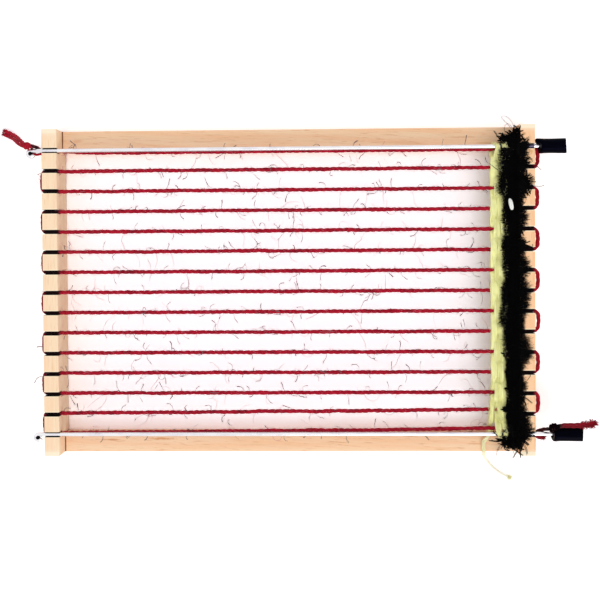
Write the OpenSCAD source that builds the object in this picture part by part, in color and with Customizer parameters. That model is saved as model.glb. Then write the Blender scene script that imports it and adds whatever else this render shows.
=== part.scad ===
// Small frame loom, warped and just begun, lying flat on a table.
// X runs along the warp, Y across it, Z up. The origin lies on the table,
// under the middle of the loom's length with its rods and caps.

/* [Frame] */
// Distance between the centres of neighbouring slots
slot_pitch = 12.7; // [11:0.1:15]
// Number of slots in each bar, always odd
slot_count = 15; // [9:2:21]
// Distance from an end slot's centre to the end of the bar
end_margin = 13.4; // [12:0.1:24]
// Length of the frame over both notched bars
frame_len = 306; // [220:1:480]

/* [Notched bars] */
// Width of a notched bar, along the warp
bar_w = 9.5; // [8:0.5:16]
// Height of a notched bar above the table
bar_h = 18; // [16:0.5:28]
// Radius of the eased long edges of bars and rails
edge_r = 0.6; // [0.3:0.1:1.2]

/* [Slots] */
// Width of a sawn slot that holds only yarn
slot_w = 2.6; // [2.5:0.1:3.6]
// Width of the two end slots, which also hold a rod
rod_slot_w = 3.2; // [2.9:0.1:4.6]
// Depth of every slot below the top of the bar
slot_depth = 5.2; // [4.9:0.1:6.5]

/* [Rails] */
// Width of a rail, across its top
rail_w = 12.5; // [9:0.5:18]
// Height of a rail above the table
rail_h = 7.8; // [6.4:0.1:8.6]
// How deep a rail's end is let into the notched bar
rail_housing = 3; // [1:0.5:5]

/* [Corner dowels] */
// Diameter of the dowel that pins each corner
dowel_d = 5; // [3:0.5:5.5]
// Length of a corner dowel
dowel_len = 22; // [16:1:40]
// Radial room between a dowel and its hole
dowel_play = 0.05; // [0.02:0.01:0.1]
// Room past a dowel's end in the rail's hole
dowel_end_room = 0.5; // [0.2:0.1:2]

/* [Rods] */
// Diameter of the steel rods along both edges of the cloth
rod_d = 2.5; // [1.8:0.1:2.8]
// Radius of a rod's bent eye, to the middle of the wire
eye_r = 1.8; // [1.5:0.1:2.6]
// Opening between the end of the bent eye and the rod
eye_gap = 0.2; // [0.1:0.1:0.6]
// How far the back rod's eye centre stands out from the left bar
back_eye_out = 7.1; // [5.2:0.1:9]
// How far the front rod's eye centre stands out from the left bar
front_eye_out = 4.2; // [4.2:0.1:8]

/* [Rod caps] */
// Outside diameter of a cap
cap_d = 9.3; // [7:0.1:9.5]
// Length of the back cap
back_cap_len = 15.5; // [14:0.5:24]
// Length of the front cap
front_cap_len = 19; // [14:0.5:24]
// Thickness of a cap's closed end
cap_end_wall = 3; // [1.5:0.5:5]
// Radius of a cap's rounded rims
cap_edge_r = 0.7; // [0.3:0.1:1.5]
// Radial room between a cap's bore and the rod
cap_play = 0.05; // [0.02:0.01:0.1]
// Room left between a rod's tip and the bottom of the back cap's bore
tip_room = 1; // [0.5:0.1:2.5]
// Gap between the back cap and the yarn's bend on the right bar
back_cap_gap = 0.3; // [0.3:0.1:2]
// Gap between the front cap and the right bar
front_cap_out = 10.2; // [9.4:0.1:12]

/* [Warp] */
// Diameter of the warp yarn
warp_d = 2.1; // [1.4:0.1:2.2]
// Room between the warp yarn and the wood that it lies on
yarn_gap = 0.2; // [0.1:0.05:0.4]
// Room between a rod and the warp yarn below it
rod_gap = 0.3; // [0.3:0.05:0.5]
// Inner radius of the yarn's bend round a tooth
loop_inner_r = 0.55; // [0.5:0.05:0.8]

/* [Weft] */
// Diameter of the weft yarns
weft_d = 1.8; // [1.2:0.1:1.8]
// Distance between the centres of neighbouring picks
weft_pitch = 2.25; // [2.25:0.05:3]
// Picks woven in the black yarn, always even
black_picks = 4; // [2:2:8]
// Picks woven in the yellow yarn, always even
yellow_picks = 4; // [2:2:8]
// Gap between the right bar and the first pick
weft_bar_gap = 0.3; // [0.3:0.1:3]
// Room between a pick and the warp yarn that it passes
weft_clear = 0.35; // [0.3:0.05:0.8]
// Room between a rod and the picks that turn round it
selvedge_gap = 0.6; // [0.5:0.05:0.9]
// How far the loose first yellow pick has strayed at the front rod
pick_drift = 0.6; // [0:0.1:6]

/* [Hidden] */
$fn = 48;

// Overlap of a cutting shape past the surface that it cuts
cut = 1;

// Places along X, counted so that the whole length is centred on the origin
back_cap_out = yarn_gap + warp_d + back_cap_gap;
left_reach = max(back_eye_out, front_eye_out) + eye_r + rod_d / 2;
right_reach = max(back_cap_out + back_cap_len, front_cap_out + front_cap_len);
left_x = (left_reach - frame_len - right_reach) / 2;
right_x = left_x + frame_len;
right_inner_x = right_x - bar_w;

// Places along Y
bar_len = (slot_count - 1) * slot_pitch + 2 * end_margin;
last_slot = slot_count - 1;
back_y = last_slot * slot_pitch / 2;
front_y = -back_y;
rail_y = (bar_len - rail_w) / 2;
function slot_y(i) = back_y - i * slot_pitch;

// Heights
slot_floor = bar_h - slot_depth;
warp_z = slot_floor + yarn_gap + warp_d / 2;
rod_z = warp_z + warp_d / 2 + rod_gap + rod_d / 2;
dowel_z = rail_h / 2;

// Rod and cap
rod_len = back_eye_out + frame_len + back_cap_out + back_cap_len - cap_end_wall - tip_room;
eye_sweep = 270 + asin(max(-1, 1 - (rod_d + eye_gap) / eye_r));

// Yarn bends and the weft's path over and under
loop_out = yarn_gap + warp_d / 2;
loop_r = loop_inner_r + warp_d / 2;
swing = (warp_d + weft_d) / 2 + weft_clear;
selvedge_r = (rod_d + weft_d) / 2 + selvedge_gap;
weft_low = warp_z - swing;
weft_over_rod = rod_z + selvedge_r;
loom_picks = black_picks + yellow_picks;
function pick_x(k) = right_inner_x - weft_bar_gap - weft_d / 2 - k * weft_pitch;

// Rings and sides of the yarn tubes
warp_sides = 6;
warp_steps = 12;
bend_steps = 4;
weft_sides = 6;
weft_steps = 3;
tail_sides = 8;

// Warp yarn from slot to knot, as steps out from the left bar, up in Y from the back
// rod and up in height from the warp
start_lead = [
    [-6.6, 2.8, 4.6], [-6, 3, 3.7], [-4.8, 2.9, 2.2], [-3.2, 1.9, 0.7], [-1.6, 0.7, 0.1]
];
// Knot and two-strand tail, from the end of that lead down to the table
start_tail_route = [
    [-6.6, 2.8, 4.6], [-7.2, 2.6, 5.5], [-8.5, 2.6, 5.9], [-10, 3, 5.9], [-11.2, 3.7, 5.2],
    [-13.2, 5, 3.4], [-15.4, 6.4, 0.8], [-17.6, 7.8, -2.2], [-19.8, 9.2, -5.4],
    [-22, 10.4, -8.4], [-24.4, 11.6, -10.6], [-27, 12.8, -12], [-29.6, 14, -13]
];
// Warp yarn from the last slot to its knot, as steps out from the right bar, up in Y
// from the front rod and up in height from the warp
end_lead = [
    [1.6, 0.5, 0.1], [3.2, 1.4, 0.4], [4.9, 2.3, 1.2], [6.4, 2.9, 2.8],
    [7.8, 3.6, 5], [8.6, 3.9, 6.6]
];
// Knot and two-strand tail, lying along the shoulder of the front cap
end_tail_route = [
    [8.6, 3.9, 6.6], [9.4, 4.5, 7.7], [10.7, 5.1, 7.9], [12.2, 5.5, 7.3], [13.8, 5.8, 6.6],
    [16.8, 6, 6.1], [19.8, 6, 6.1], [22.8, 6, 6.1], [25.8, 6.1, 6.1],
    [28.8, 6.2, 6], [31.8, 6.5, 5.9], [34.6, 7, 5.6], [36.4, 7.4, 5.2]
];
// Radii along the knot and tail: the yarn, the knot, then two strands side by side
knot_radii = [warp_d / 2, 1.8, 2.3, 2.2, 1.9];
tail_r = 1.9;
// Yellow tail as steps from the place where the loose first pick passes under the front
// rod, up in height from that pick, then from the rail's top, then from the table
tail_under_rod = [[0, -1, 0], [-0.1, -1.9, -0.1], [-0.5, -2.8, -0.6], [-1.2, -3.7, -1.4]];
tail_on_rail = [
    [-2, -4.8, 1.8], [-2.6, -6.1, 1.4], [-3, -7.8, 1.25], [-3.1, -9.6, 1.2],
    [-3.1, -11.2, 1.2], [-3.1, -12.6, 1.2], [-3, -14, 0.9]
];
tail_on_table = [
    [-2.7, -15.3, 7.4], [-2.1, -16.8, 5.4], [-1, -18.7, 3.2], [0.6, -21, 1.7], [2.6, -23.4, 1.2],
    [5.1, -26, 1.1], [8, -28.3, 1.1], [11.2, -30.2, 1.1], [14.3, -31.7, 1.1]
];
// Room between a tail and the table that it lies on
table_gap = 0.2;

// Route moved to its place. No point of it is lower than where a yarn of radius r lies
function placed(route, x, y, z, r) =
    [for (p = route) [x + p[0], y + p[1], max(r + table_gap, z + p[2])]];

// Least gap between turns of a yarn, measured on points at least so many rings apart
rings_apart = 8;
function least_gap(route, d) = min([
    for (i = [0:len(route) - 1 - rings_apart], j = [i + rings_apart:len(route) - 1])
        norm(route[i] - route[j])
]) - d;

// Tube of one yarn along a route. The reference direction is never along the route
function unit(v) = v / norm(v);
function heading(route, i) =
    unit(route[min(i + 1, len(route) - 1)] - route[max(i - 1, 0)]);
function ring(route, i, r, sides, reference) =
    let (t = heading(route, i), u = unit(reference - (reference * t) * t), v = cross(t, u))
    [for (k = [0:sides - 1]) let (a = 360 * k / sides) route[i] + r * (cos(a) * u + sin(a) * v)];

module tube(route, radii, sides, reference) {
    last = len(route) - 1;
    points = [for (i = [0:last]) each ring(route, i, radii[i], sides, reference)];
    walls = [
        for (i = [0:last - 1], k = [0:sides - 1])
            let (a = i * sides + k, b = i * sides + (k + 1) % sides)
            each [[a, a + sides, b], [b, a + sides, b + sides]]
    ];
    start_cap = [for (k = [1:sides - 2]) [0, k, k + 1]];
    end_cap = [for (k = [1:sides - 2]) [0, k + 1, k] + last * sides * [1, 1, 1]];
    polyhedron(points, concat(start_cap, walls, end_cap));
}
function even_radii(route, d) = [for (p = route) d / 2];

// Warp route: each pass, then the bend round a tooth outside the bar
function warp_bend(side, i) =
    let (x = side > 0 ? right_x : left_x, cx = x + side * (loop_out - loop_r))
    concat(
        [for (s = [0:bend_steps]) let (a = 90 * s / bend_steps)
            [cx + side * loop_r * sin(a), slot_y(i) - loop_r * (1 - cos(a)), warp_z]],
        [for (s = [bend_steps:-1:0]) let (a = 90 * s / bend_steps)
            [cx + side * loop_r * sin(a), slot_y(i + 1) + loop_r * (1 - cos(a)), warp_z]]
    );
function warp_pass(side, i) = [
    for (s = [1:warp_steps])
        let (f = side > 0 ? s / (warp_steps + 1) : 1 - s / (warp_steps + 1))
        [left_x + f * frame_len, slot_y(i), warp_z]
];
warp_route = concat(
    placed(start_lead, left_x, back_y, warp_z, warp_d / 2),
    [[left_x, back_y, warp_z]],
    [for (i = [0:last_slot]) let (side = i % 2 == 0 ? 1 : -1)
        each concat(warp_pass(side, i), i < last_slot ? warp_bend(side, i) : [])],
    [[right_x, front_y, warp_z]],
    placed(end_lead, right_x, front_y, warp_z, warp_d / 2)
);

// Weft route: s counts the warp threads from the back, and edge is the distance in
// threads from the nearer rod
function weft_z(k, s) =
    let (edge = min(s, last_slot - s), rise = (1 + cos(180 * min(edge, 1))) / 2)
    k % 2 == 0
        ? (edge < 1 ? weft_low + (weft_over_rod - weft_low) * rise : warp_z + swing * cos(180 * s))
        : warp_z - swing * cos(180 * s);
function pick_place(k, s, loose) = [
    pick_x(k) - (loose ? pick_drift * max(0, (s - last_slot + 2) / 2) : 0),
    back_y - s * slot_pitch,
    weft_z(k, s)
];
function pick(k, loose) =
    let (stations = last_slot * weft_steps)
    [for (j = [0:stations])
        let (s = (k % 2 == 1 ? stations - j : j) / weft_steps)
        pick_place(k, s, loose)];
// Points of a turn round the rod, from under it to over it, as [fraction, out, height]
selvedge_turn = [
    [0.2, selvedge_r * sin(45), weft_low + selvedge_r * (1 - cos(45))],
    [0.4, selvedge_r, weft_low + selvedge_r],
    [0.6, selvedge_r, rod_z],
    [0.8, selvedge_r * cos(45), rod_z + selvedge_r * sin(45)]
];
function selvedge(k) =
    let (rising = k % 2 == 1, y = rising ? back_y : front_y, way = rising ? 1 : -1)
    [for (n = [0:3])
        let (t = selvedge_turn[rising ? n : 3 - n], f = rising ? t[0] : 1 - t[0])
        [pick_x(k) + f * weft_pitch, y + way * t[1], t[2]]];
function front_end(k, over) = [
    for (n = over ? [3, 2] : [1, 0])
        [pick_x(k), front_y - selvedge_turn[n][1], selvedge_turn[n][2]]
];
function weft_route(first, last, loose) = concat(
    loose
        ? [[pick_x(first) - pick_drift, front_y + tail_under_rod[0][1], weft_low]]
        : front_end(first, false),
    [for (k = [first:-1:last])
        each concat(pick(k, loose && k == first), k > last ? selvedge(k) : [])],
    front_end(last, true)
);
black_route = weft_route(black_picks - 1, 0, false);
yellow_route = weft_route(loom_picks - 1, black_picks, true);

echo(warp_least_gap = least_gap(warp_route, warp_d));
echo(black_weft_least_gap = least_gap(black_route, weft_d));
echo(yellow_weft_least_gap = least_gap(yellow_route, weft_d));

// Bar of wood along Y with its four long edges eased
module eased_bar(w, len, h, r) {
    translate([0, -len / 2, r]) cube([w, len, h - 2 * r]);
    translate([r, -len / 2, 0]) cube([w - 2 * r, len, h]);
    for (x = [r, w - r], z = [r, h - r])
        translate([x, 0, z]) rotate([90, 0, 0]) cylinder(r = r, h = len, center = true);
}

// Space that a rail's end takes up in a bar, reaching in from the bar's inner face
module rail_end_space(inner_x, side) {
    for (y = [rail_y - rail_w / 2, -bar_len / 2 - cut])
        translate([side > 0 ? inner_x : inner_x - rail_housing, y, -cut])
            cube([rail_housing, rail_w + cut, rail_h + cut]);
}

// Hole for a corner dowel, from the outside of the frame to just past the dowel's end
module dowel_hole(side, way) {
    translate([side > 0 ? right_x + cut : left_x - cut, way * rail_y, dowel_z])
        rotate([0, -side * 90, 0])
            cylinder(d = dowel_d + 2 * dowel_play, h = cut + dowel_len + dowel_end_room);
}

module notched_bar(side) {
    x = side > 0 ? right_inner_x : left_x;
    color([0.96, 0.83, 0.68]) difference() {
        translate([x, 0, 0]) eased_bar(bar_w, bar_len, bar_h, edge_r);
        for (i = [0:last_slot]) {
            w = i == 0 || i == last_slot ? rod_slot_w : slot_w;
            translate([x - cut, slot_y(i) - w / 2, slot_floor])
                cube([bar_w + 2 * cut, w, slot_depth + cut]);
        }
        rail_end_space(side > 0 ? x : x + bar_w, side);
        for (way = [-1, 1]) dowel_hole(side, way);
    }
}

module rail(way) {
    color([0.97, 0.8, 0.62]) difference() {
        translate([left_x + frame_len / 2, way * rail_y + rail_w / 2, 0]) rotate(-90)
            eased_bar(rail_w, frame_len - 2 * (bar_w - rail_housing), rail_h, edge_r);
        for (side = [-1, 1]) dowel_hole(side, way);
    }
}

module dowel(side, way) {
    x = side > 0 ? right_x : left_x;
    color([0.88, 0.7, 0.5])
        translate([x, way * rail_y, dowel_z]) rotate([0, -side * 90, 0])
            cylinder(d = dowel_d, h = dowel_len);
}

// Straight steel rod whose left end is bent into a flat eye
module rod(y, eye_out) {
    eye_x = left_x - eye_out;
    color([0.82, 0.83, 0.85]) {
        translate([eye_x, y, rod_z]) rotate([0, 90, 0]) cylinder(d = rod_d, h = rod_len);
        translate([eye_x, y - eye_r, rod_z]) rotate(90)
            rotate_extrude(angle = eye_sweep) translate([eye_r, 0]) circle(d = rod_d);
    }
}

// Push-on cap with rounded rims and a blind bore
module rod_cap(y, out, len) {
    quarter = [0:15:90];
    bore_len = len - cap_end_wall;
    r = cap_d / 2;
    bore_r = rod_d / 2 + cap_play;
    profile = concat(
        [[bore_r, 0]],
        [for (a = quarter) [r - cap_edge_r * (1 - sin(a)), cap_edge_r * (1 - cos(a))]],
        [for (a = quarter) [r - cap_edge_r * (1 - cos(a)), len - cap_edge_r * (1 - sin(a))]],
        [[0, len], [0, bore_len], [bore_r, bore_len]]
    );
    color([0.06, 0.06, 0.08])
        translate([right_x + out, y, rod_z]) rotate([0, 90, 0])
            rotate_extrude() polygon(profile);
}

module warp_yarn() {
    color([0.62, 0.05, 0.16])
        tube(warp_route, even_radii(warp_route, warp_d), warp_sides, [0, 0, 1]);
}

module knotted_tail(route, x, y) {
    radii = [for (i = [0:len(route) - 1]) i < len(knot_radii) ? knot_radii[i] : tail_r];
    color([0.62, 0.05, 0.16])
        tube(placed(route, x, y, warp_z, tail_r), radii, tail_sides, [0, 0, 1]);
}

module weft(route, shade) {
    color(shade) tube(route, even_radii(route, weft_d), weft_sides, [1, 0, 0]);
}

module yellow_weft_tail() {
    x = pick_x(loom_picks - 1) - pick_drift;
    r = weft_d / 2;
    route = concat(
        placed(tail_under_rod, x, front_y, weft_low, r),
        placed(tail_on_rail, x, front_y, rail_h, r),
        placed(tail_on_table, x, front_y, 0, r)
    );
    color([0.97, 0.96, 0.62]) tube(route, even_radii(route, weft_d), tail_sides, [1, 0, 0]);
}

notched_bar(-1);  // left_notched_bar
notched_bar(1);  // right_notched_bar
rail(1);  // back_rail
rail(-1);  // front_rail
dowel(-1, 1);  // back_left_dowel
dowel(1, 1);  // back_right_dowel
dowel(-1, -1);  // front_left_dowel
dowel(1, -1);  // front_right_dowel
rod(back_y, back_eye_out);  // back_rod
rod(front_y, front_eye_out);  // front_rod
rod_cap(back_y, back_cap_out, back_cap_len);  // back_rod_cap
rod_cap(front_y, front_cap_out, front_cap_len);  // front_rod_cap
warp_yarn();
knotted_tail(start_tail_route, left_x, back_y);  // warp_start_tail
knotted_tail(end_tail_route, right_x, front_y);  // warp_end_tail
weft(black_route, [0.04, 0.04, 0.05]);  // black_weft
weft(yellow_route, [0.97, 0.96, 0.62]);  // yellow_weft
yellow_weft_tail();
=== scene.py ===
import math

import bpy
import numpy as np
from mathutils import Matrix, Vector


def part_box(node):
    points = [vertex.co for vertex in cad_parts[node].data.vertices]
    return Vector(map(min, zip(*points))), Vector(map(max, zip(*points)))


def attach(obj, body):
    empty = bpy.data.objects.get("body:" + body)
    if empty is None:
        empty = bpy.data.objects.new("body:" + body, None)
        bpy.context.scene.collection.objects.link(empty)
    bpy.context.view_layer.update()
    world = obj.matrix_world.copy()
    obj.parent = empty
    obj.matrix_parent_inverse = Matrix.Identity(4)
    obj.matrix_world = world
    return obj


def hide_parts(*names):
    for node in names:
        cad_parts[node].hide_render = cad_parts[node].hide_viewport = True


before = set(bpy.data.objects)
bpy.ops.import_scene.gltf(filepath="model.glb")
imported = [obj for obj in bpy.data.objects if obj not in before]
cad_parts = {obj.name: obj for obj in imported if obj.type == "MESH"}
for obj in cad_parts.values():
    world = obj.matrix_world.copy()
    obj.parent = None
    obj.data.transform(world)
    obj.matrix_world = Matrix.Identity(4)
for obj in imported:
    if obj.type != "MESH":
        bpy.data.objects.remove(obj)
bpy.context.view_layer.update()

# The loom is seen from above, from a point near its middle, by a camera that looks a
# hair away from straight down. EYE is in millimetres from the left bar's outer face,
# LENS_CENTRE is in the picture's pixels and LEAN in degrees.
MM = 0.001
PICTURE = 600
SENSOR = 36
LENS = 42.48
EYE = (170.54, 24.09, 456.66)
LENS_CENTRE = (299.9, 260.8)
LEAN = (-0.66, 1.249, -0.382)


def set_up(name, data):
    """A new object in the scene, made from a camera, a mesh or a lamp."""
    thing = bpy.data.objects.new(name, data)
    bpy.context.scene.collection.objects.link(thing)
    return thing


left_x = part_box("left_notched_bar")[0].x / MM
camera_data = bpy.data.cameras.new("camera")
camera_data.sensor_width = SENSOR
camera_data.lens = LENS
camera_data.shift_x = (PICTURE / 2 - LENS_CENTRE[0]) / PICTURE
camera_data.shift_y = (LENS_CENTRE[1] - PICTURE / 2) / PICTURE
camera = set_up("camera", camera_data)
camera.location = ((left_x + EYE[0]) * MM, EYE[1] * MM, EYE[2] * MM)
camera.rotation_euler = [math.radians(angle) for angle in LEAN]
bpy.context.scene.camera = camera

# Start of the warp: the crimson yarn comes out of the left bar's first slot, is knotted
# over the rod's eye, and its doubled end lies out on the table. The yarn is three
# woolly plies twisted together.
SLOT_PITCH = 12.7
LAST_SLOT = 14
BACK_Y = SLOT_PITCH * LAST_SLOT / 2
BAR_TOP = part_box("left_notched_bar")[1].z / MM
SLOT_DEPTH = 5.2
SLOT_FLOOR = BAR_TOP - SLOT_DEPTH
RESTING_GAP = 0.2
WARP_R = 1.05
WARP_Z = SLOT_FLOOR + RESTING_GAP + WARP_R
PLY_PITCH = 12
TAIL_R = 1.9
FIBRE_LOW = 0.15
YARN_STEP = 0.4
KNOT_STEP = 0.35
START_TAIL = [
    (-6.6, 2.8, 4.6), (-7.2, 2.6, 5.5), (-8.5, 2.6, 5.9), (-10, 3, 5.9), (-11.2, 3.7, 5.2),
    (-13.2, 5, 3.4), (-15.4, 6.4, 0.8), (-17.6, 7.8, -2.2), (-19.8, 9.2, -5.4),
    (-22, 10.4, -8.4), (-24.4, 11.6, -10.6), (-27, 12.8, -12), (-29.6, 14, -13),
]


class Signal:
    """A node's output in a material. Arithmetic on it adds Math nodes."""

    def __init__(self, tree, socket=None):
        self.tree = tree
        self.socket = socket

    def node(self, kind, settings=None, inputs=None, output=0):
        """Any node: its settings are set first, then its sockets' values or links."""
        new = self.tree.nodes.new(kind)
        for name, value in (settings or {}).items():
            setattr(new, name, value)
        for name, value in (inputs or {}).items():
            if isinstance(value, Signal):
                self.tree.links.new(value.socket, new.inputs[name])
            else:
                new.inputs[name].default_value = value
        return Signal(self.tree, new.outputs[output]) if new.outputs else None

    def math(self, operation, *values):
        """A Math node on numbers and Signals."""
        return self.node("ShaderNodeMath", {"operation": operation}, dict(enumerate(values)))

    def __add__(self, other):
        return self.math("ADD", self, other)

    def __sub__(self, other):
        return self.math("SUBTRACT", self, other)

    def __rsub__(self, other):
        return self.math("SUBTRACT", other, self)

    def __mul__(self, other):
        return self.math("MULTIPLY", self, other)

    __radd__ = __add__
    __rmul__ = __mul__

    def __abs__(self):
        return self.math("ABSOLUTE", self)

    def rise(self, low, high):
        """0 up to low, 1 from high, and a soft step between them."""
        soft = {"interpolation_type": "SMOOTHSTEP"}
        span = {"Value": self, "From Min": low, "From Max": high}
        return self.node("ShaderNodeMapRange", soft, span)

    def blend(self, first, second):
        """The first colour where this is 0, the second where it is 1."""
        inputs = {0: self, 6: first, 7: second}
        return self.node("ShaderNodeMix", {"data_type": "RGBA"}, inputs, 2)

    def stretched(self, scale):
        """This vector with each of its directions multiplied by its own scale."""
        return self.node("ShaderNodeVectorMath", {"operation": "MULTIPLY"}, {0: self, 1: scale})

    def part(self, axis):
        """One of this vector's three numbers."""
        return self.node("ShaderNodeSeparateXYZ", None, {0: self}, axis)

    def mark(self, name, output="Fac"):
        """A value or vector that a piece's mesh carries at its points."""
        return self.node("ShaderNodeAttribute", {"attribute_name": name}, None, output)

    def ray(self, kind):
        """1 for light rays of this kind, 0 for the others."""
        return self.node("ShaderNodeLightPath", None, None, kind)

    def place_mm(self):
        """The place on a CAD part, in millimetres."""
        place = self.node("ShaderNodeTexCoord", None, None, "Object")
        return place.stretched((1 / MM,) * 3)

    def distance_from(self, x, y, half_x=1, half_y=1):
        """How far this place is from x and y, in half lengths and half widths."""
        ends = {0: self, 1: (x, y, 0)}
        away = self.node("ShaderNodeVectorMath", {"operation": "SUBTRACT"}, ends)
        flat = away.stretched((1 / half_x, 1 / half_y, 0))
        return self.node("ShaderNodeVectorMath", {"operation": "LENGTH"}, {0: flat}, "Value")

    def noise(self, detail=2, roughness=0.5):
        """Noise with one cloud to each unit of this vector."""
        shape = {"Vector": self, "Scale": 1, "Detail": detail, "Roughness": roughness}
        return self.node("ShaderNodeTexNoise", None, shape)

    def relief(self, height):
        """Surface direction for a height in millimetres."""
        return self.node("ShaderNodeBump", None, {"Distance": height * MM, "Height": self})


def begin_finish(name):
    """A new material, and a Signal through which its nodes are added."""
    material = bpy.data.materials.new(name)
    material.use_nodes = True
    material.node_tree.nodes.clear()
    return material, Signal(material.node_tree)


def end_finish(signal, sockets):
    """Ends a material with one shader and the values or links of its sockets."""
    shader = signal.node("ShaderNodeBsdfPrincipled", None, sockets)
    signal.node("ShaderNodeOutputMaterial", None, {"Surface": shader})


def shown(red, green, blue):
    """Linear colour of a colour that shows on screen as these 0 to 255 values."""
    parts = [value / 255 for value in (red, green, blue)]
    linear = [v / 12.92 if v < 0.04 else ((v + 0.055) / 1.055) ** 2.4 for v in parts]
    return (*linear, 1)


def wool_finish(name, deep, middle, bright, hidden, sheen, shine=0.2):
    """Spun wool whose fibres streak along each ply, with painted shade or highlight where
    marked.
    """
    material, yarn = begin_finish(name)
    thread = yarn.mark("thread", "Vector")
    painted_share = yarn.mark("hidden")
    streaks = thread.stretched((1.1, 2.6, 2.6)).noise(4, 0.6)
    clumps = thread.stretched((0.16, 0.7, 0.7)).noise(2)
    tone = streaks * 0.55 + clumps * 0.5
    colour = tone.rise(0.38, 0.52).blend(deep, middle)
    colour = tone.rise(0.56, 0.74).blend(colour, bright)
    # Painted light: the hidden colour is blended in where the hidden mark is set.
    colour = painted_share.blend(colour, hidden)
    relief = thread.stretched((1.6, 4.0, 4.0)).noise(3, 0.6).relief(0.14)
    end_finish(yarn, {
        "Base Color": colour, "Roughness": 0.85, "Normal": relief,
        "Specular IOR Level": shine, "Sheen Weight": sheen, "Sheen Roughness": 0.5,
    })
    return material


def plain_fibre_finish(name, deep, bright, shine=0.2):
    """Single loose fibres: each one has its own shade between two colours."""
    material, hair = begin_finish(name)
    tint = hair.mark("tint")
    thread = hair.mark("thread", "Vector")
    shade = tint * 0.8 + thread.stretched((1.5, 0.5, 0.5)).noise(2) * 0.4
    end_finish(hair, {
        "Base Color": shade.rise(0.1, 1.1).blend(deep, bright),
        "Roughness": 0.8, "Specular IOR Level": shine,
    })
    return material


def unit(vectors):
    """The same directions, each with a length of 1."""
    return vectors / np.linalg.norm(vectors, axis=-1, keepdims=True)


def placed(route, x, y, z, lowest=0):
    """A route's steps moved to their place, no point lower than the yarn can lie."""
    points = np.array(route, float) + (x, y, z)
    points[:, 2] = np.maximum(points[:, 2], lowest)
    return points


def along(line):
    """Length of yarn from its start to each of its points."""
    return np.concatenate([[0], np.cumsum(np.linalg.norm(np.diff(line, axis=0), axis=1))])


def soften(line, times):
    """Eases the corners of a line that many times. Its two ends stay."""
    for _ in range(times):
        line[1:-1] = (line[:-2] + 2 * line[1:-1] + line[2:]) / 4
    return line


def laid(points, step, softening=0):
    """Points an even step apart along a route, its corners softened that many times."""
    points = np.asarray(points, float)
    reach = along(points)
    marks = np.linspace(0, reach[-1], int(reach[-1] / step) + 2)
    even = np.stack([np.interp(marks, reach, points[:, axis]) for axis in range(3)], axis=1)
    return soften(even, softening)


def strand_frames(centres):
    """Heading and two square directions at each ring of each strand."""
    heading = unit(np.gradient(centres, axis=1))
    upright = np.abs(heading[:, :1, 2]) > 0.8
    side = np.where(upright, (1.0, 0, 0), (0, 0, 1.0))
    across = np.empty_like(heading)
    for ring in range(centres.shape[1]):
        ahead = heading[:, ring]
        side = unit(side - np.sum(side * ahead, axis=1, keepdims=True) * ahead)
        across[:, ring] = side
    return heading, across, np.cross(heading, across)


def make_strands(name, centres, radii, sides, finish, **marks):
    """One piece of many strands, each a closed tube round its own line of rings."""
    count, rings = radii.shape
    _, across, up = strand_frames(centres)
    turn = np.arange(sides) * 2 * math.pi / sides
    spokes = np.cos(turn)[:, None] * across[:, :, None]
    spokes = spokes + np.sin(turn)[:, None] * up[:, :, None]
    points = centres[:, :, None] + radii[:, :, None, None] * spokes
    corner = np.arange(count * rings * sides).reshape(count, rings, sides)
    beside = np.roll(corner, -1, 2)
    walls = np.stack([corner[:, :-1], beside[:, :-1], beside[:, 1:], corner[:, 1:]], axis=-1)
    tips = np.concatenate([corner[:, 0, ::-1], corner[:, -1]])
    corners = np.concatenate([walls.ravel(), tips.ravel()]).astype(np.int32)
    wall_count = walls.size // 4
    starts = np.concatenate([
        np.arange(wall_count) * 4, walls.size + np.arange(2 * count) * sides,
    ]).astype(np.int32)
    mesh = bpy.data.meshes.new(name)
    mesh.vertices.add(corner.size)
    mesh.vertices.foreach_set("co", (points * MM).astype(np.float32).ravel())
    mesh.loops.add(len(corners))
    mesh.loops.foreach_set("vertex_index", corners)
    mesh.polygons.add(len(starts))
    mesh.polygons.foreach_set("loop_start", starts)
    mesh.polygons.foreach_set("use_smooth", np.ones(len(starts), bool))
    mesh.update(calc_edges=True)
    gaps = np.linalg.norm(np.diff(centres, axis=1, prepend=centres[:, :1]), axis=2)
    thread = np.empty((count, rings, sides, 3), np.float32)
    thread[..., 0] = (np.cumsum(gaps, axis=1) + 17.3 * np.arange(count)[:, None])[:, :, None]
    thread[..., 1] = np.cos(turn)
    thread[..., 2] = np.sin(turn)
    layer = mesh.attributes.new("thread", "FLOAT_VECTOR", "POINT")
    layer.data.foreach_set("vector", thread.ravel())
    for mark, values in marks.items():
        spread = np.repeat(np.broadcast_to(values, (count, rings)), sides)
        layer = mesh.attributes.new(mark, "FLOAT", "POINT")
        layer.data.foreach_set("value", spread.astype(np.float32))
    mesh.materials.append(finish)
    return set_up(name, mesh)


def plies(core, radius, turn=0.0, pitch=PLY_PITCH):
    """Lines of the three plies that twist round a yarn's own line, and their radii."""
    _, across, up = strand_frames(core[None])
    length = along(core)
    turned = turn + 2 * math.pi * (length + 1.3 * np.sin(length / 17)) / pitch
    lines = []
    for third in range(3):
        angle = turned[:, None] + 2 * math.pi * third / 3
        outward = np.cos(angle) * across[0] + np.sin(angle) * up[0]
        lines.append(core + 0.47 * radius[:, None] * outward)
    return np.stack(lines), np.stack([0.59 * radius] * 3)


def uneven(line, radius, chance, share=0.1):
    """Radius of hand-spun yarn, which is a little thicker here and thinner there."""
    knots = chance.normal(0, share, len(line) // 6 + 3)
    wave = np.interp(np.arange(len(line)) / 6, np.arange(len(knots)), knots)
    return radius * (1 + wave)


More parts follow.
